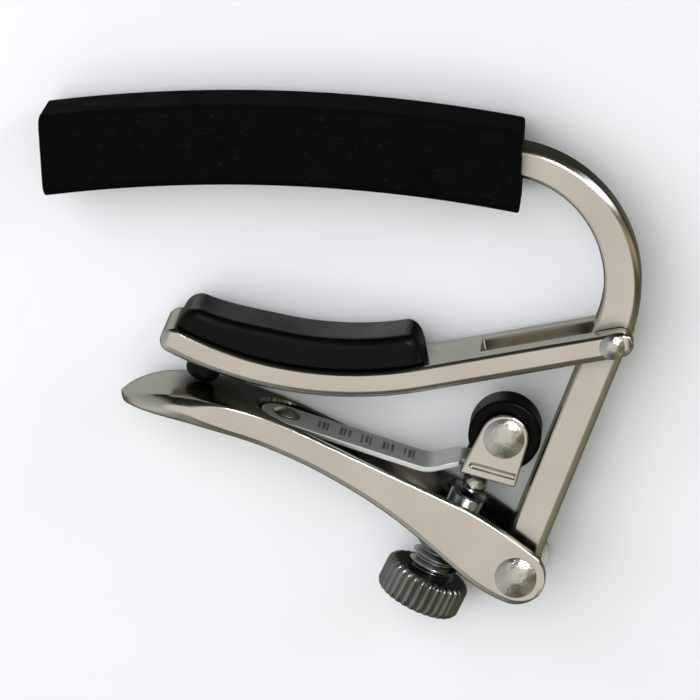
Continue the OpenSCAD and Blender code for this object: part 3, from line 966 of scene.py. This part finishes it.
def make_shank():
    """A screw with a true helical thread, then a plain neck."""
    start, step, segments = KNOB_H / 2 - 0.6, 0.07, 72
    axis = SCREW_D.to_3d()
    sections = []
    for i in range(int((THREAD_END - start) / step) + 1):
        s = start + step * i
        sections.append((s, [thread_radius(s, j / segments) for j in range(segments)]))
    neck_end = NUB_S - NUB_R - CLEAR
    for r, s in ((NECK_R, THREAD_END + 0.1), (NECK_R, neck_end - 0.2), (NECK_R - 0.2, neck_end)):
        sections.append((s, [r] * segments))
    rings = [ring_round(world(KNOB_AT, 0), axis, UPRIGHT, s, radii) for s, radii in sections]
    loft("shank_body", rings, THREAD, "thumb_screw", ["screw_shank"], even=False)


def make_nub():
    """The ball tip, which the yoke rests on."""
    spots = [NUB_R * polar(-90 + 180 * i / 24) for i in range(25)]
    lathe("nub_ball", [(d.x, NUB_S + d.y) for d in spots], KNOB_AT, SCREW_D, RIVET, "screw_tip",
          ["screw_nub"], 48)


# ---- Stage, light and camera ----

def make_floor():
    """White paper just under the capo's lower side."""
    half, z = 1.5, cad_box[0][2] - 0.0001
    corners = [(-half, -half, z), (half, -half, z), (half, half, z), (-half, half, z)]
    mesh = bpy.data.meshes.new("floor")
    mesh.from_pydata(corners, [], [(0, 1, 2, 3)])
    floor = bpy.data.objects.new("floor", mesh)
    bpy.context.scene.collection.objects.link(floor)
    material, tree, shader, place = node_material("floor_paper")
    tones = [(0.3, (0.87, 0.90, 0.955)), (0.7, (0.89, 0.92, 0.975))]
    tree.links.new(ramp(tree, noise(tree, place, 40, 3), tones), shader.inputs["Base Color"])
    shader.inputs["Roughness"].default_value = 0.9
    shader.inputs["Specular IOR Level"].default_value = 0.1
    mesh.materials.append(material)
    floor.visible_glossy = False


GROUND_LEFT = (0.36, 0.375, 0.34)
GROUND_RIGHT = (0.03, 0.033, 0.026)
GROUND_FRONT = (0.11, 0.11, 0.075)
CEILING = (0.74, 0.70, 0.64)
# Wall tones by direction: -X, -Y, +X, then +Y, and round to -X again.
WALLS = [(0.0, (0.42, 0.42, 0.40)), (0.12, (0.55, 0.55, 0.52)), (0.25, (0.10, 0.10, 0.07)),
         (0.36, (0.30, 0.28, 0.20)), (0.46, (0.07, 0.065, 0.03)), (0.51, (0.40, 0.34, 0.2)),
         (0.55, (0.07, 0.065, 0.03)), (0.595, (2.6, 2.6, 2.7)), (0.64, (0.04, 0.04, 0.03)),
         (0.78, (0.01, 0.012, 0.01)), (0.87, (0.28, 0.31, 0.28)), (1.0, (0.42, 0.42, 0.40))]


def blend(tree, along, span, low, high):
    """Goes from the colour low to the colour high as a value crosses a span."""
    share = tree.nodes.new("ShaderNodeMapRange")
    share.interpolation_type = "SMOOTHSTEP"
    share.inputs["From Min"].default_value, share.inputs["From Max"].default_value = span
    tree.links.new(along, share.inputs["Value"])
    mix = tree.nodes.new("ShaderNodeMix")
    mix.data_type = "RGBA"
    tree.links.new(share.outputs[0], mix.inputs["Factor"])
    for socket, colour in ((mix.inputs[6], low), (mix.inputs[7], high)):
        if isinstance(colour, tuple):
            socket.default_value = (*colour, 1)
        else:
            tree.links.new(colour, socket)
    return mix.outputs[2]


def make_world():
    """A studio seen in the metal: a warm ceiling, and walls whose tone changes with direction."""
    studio = bpy.data.worlds.new("studio")
    bpy.context.scene.world = studio
    studio.use_nodes = True
    tree = studio.node_tree
    tree.nodes.clear()
    out = tree.nodes.new("ShaderNodeOutputWorld")
    back = tree.nodes.new("ShaderNodeBackground")
    place = tree.nodes.new("ShaderNodeTexCoord")
    parts = tree.nodes.new("ShaderNodeSeparateXYZ")
    tree.links.new(place.outputs["Generated"], parts.inputs[0])
    angle = tree.nodes.new("ShaderNodeMath")
    angle.operation = "ARCTAN2"
    tree.links.new(parts.outputs["Y"], angle.inputs[0])
    tree.links.new(parts.outputs["X"], angle.inputs[1])
    turn = tree.nodes.new("ShaderNodeMapRange")
    turn.inputs["From Min"].default_value = -math.pi
    turn.inputs["From Max"].default_value = math.pi
    tree.links.new(angle.outputs[0], turn.inputs["Value"])
    walls = ramp(tree, turn.outputs[0], WALLS, "EASE")
    x, y, z = (parts.outputs[axis] for axis in "XYZ")
    ground = blend(tree, x, (-0.14, 0.0), GROUND_LEFT, GROUND_RIGHT)
    ground = blend(tree, y, (-0.15, 0.1), GROUND_FRONT, ground)
    sides = blend(tree, z, (-0.6, 0.0), ground, walls)
    tree.links.new(blend(tree, z, (0.79, 0.93), sides, CEILING), back.inputs["Color"])
    tree.links.new(back.outputs[0], out.inputs[0])


def area(name, at, size, watts, glossy):
    """A light aimed at the capo, seen either in reflections alone or by matt surfaces alone."""
    light = bpy.data.lights.new(name, "AREA")
    light.shape = "RECTANGLE"
    light.size, light.size_y = size
    light.energy = watts
    obj = bpy.data.objects.new(name, light)
    obj.location = at
    obj.rotation_euler = (-Vector(at)).to_track_quat("-Z", "Y").to_euler()
    obj.visible_glossy = glossy
    obj.visible_diffuse = not glossy
    bpy.context.scene.collection.objects.link(obj)


def make_lights():
    """A broad soft light from above, and a small one for the sparks on the domes."""
    area("overhead", at=(-0.28, 0.16, 0.55), size=(0.8, 0.8), watts=4.3, glossy=False)
    area("spark", at=(0.22, 0.26, 0.42), size=(0.09, 0.07), watts=1.0, glossy=True)


def make_camera():
    """Looks down on the capo's face, a little from the sleeve's side and from its right."""
    lean_x, lean_y = 0.0693, 0.2645
    distance, field, sensor_mm = 0.6, 0.08816, 36
    aim = LEVER_PIN + Vector((-21.36, 27.69, 0)) * MM
    back = Vector((lean_x, lean_y, math.sqrt(1 - lean_x**2 - lean_y**2)))
    right = Vector((0, 1, 0)).cross(back).normalized()
    up = back.cross(right)
    turn = Matrix((right, up, back)).transposed()
    data = bpy.data.cameras.new("camera")
    data.sensor_width = sensor_mm
    data.lens = sensor_mm * distance / field
    data.clip_start, data.clip_end = 0.01, 10
    camera = bpy.data.objects.new("camera", data)
    camera.matrix_world = Matrix.Translation(aim + back * distance) @ turn.to_4x4()
    bpy.context.scene.collection.objects.link(camera)
    bpy.context.scene.camera = camera


def main():
    """The camera first, then the pieces, then what stands round them."""
    make_camera()
    make_main_bar()
    make_sleeve()
    make_arm()
    make_pad()
    make_bumper()
    make_lever()
    make_rivets()
    make_spacers()
    make_roller()
    make_strip()
    make_yoke()
    make_yoke_rivets()
    make_knob()
    make_shank()
    make_nub()
    make_floor()
    make_world()
    make_lights()
    bpy.context.scene.view_settings.view_transform = "Standard"


main()
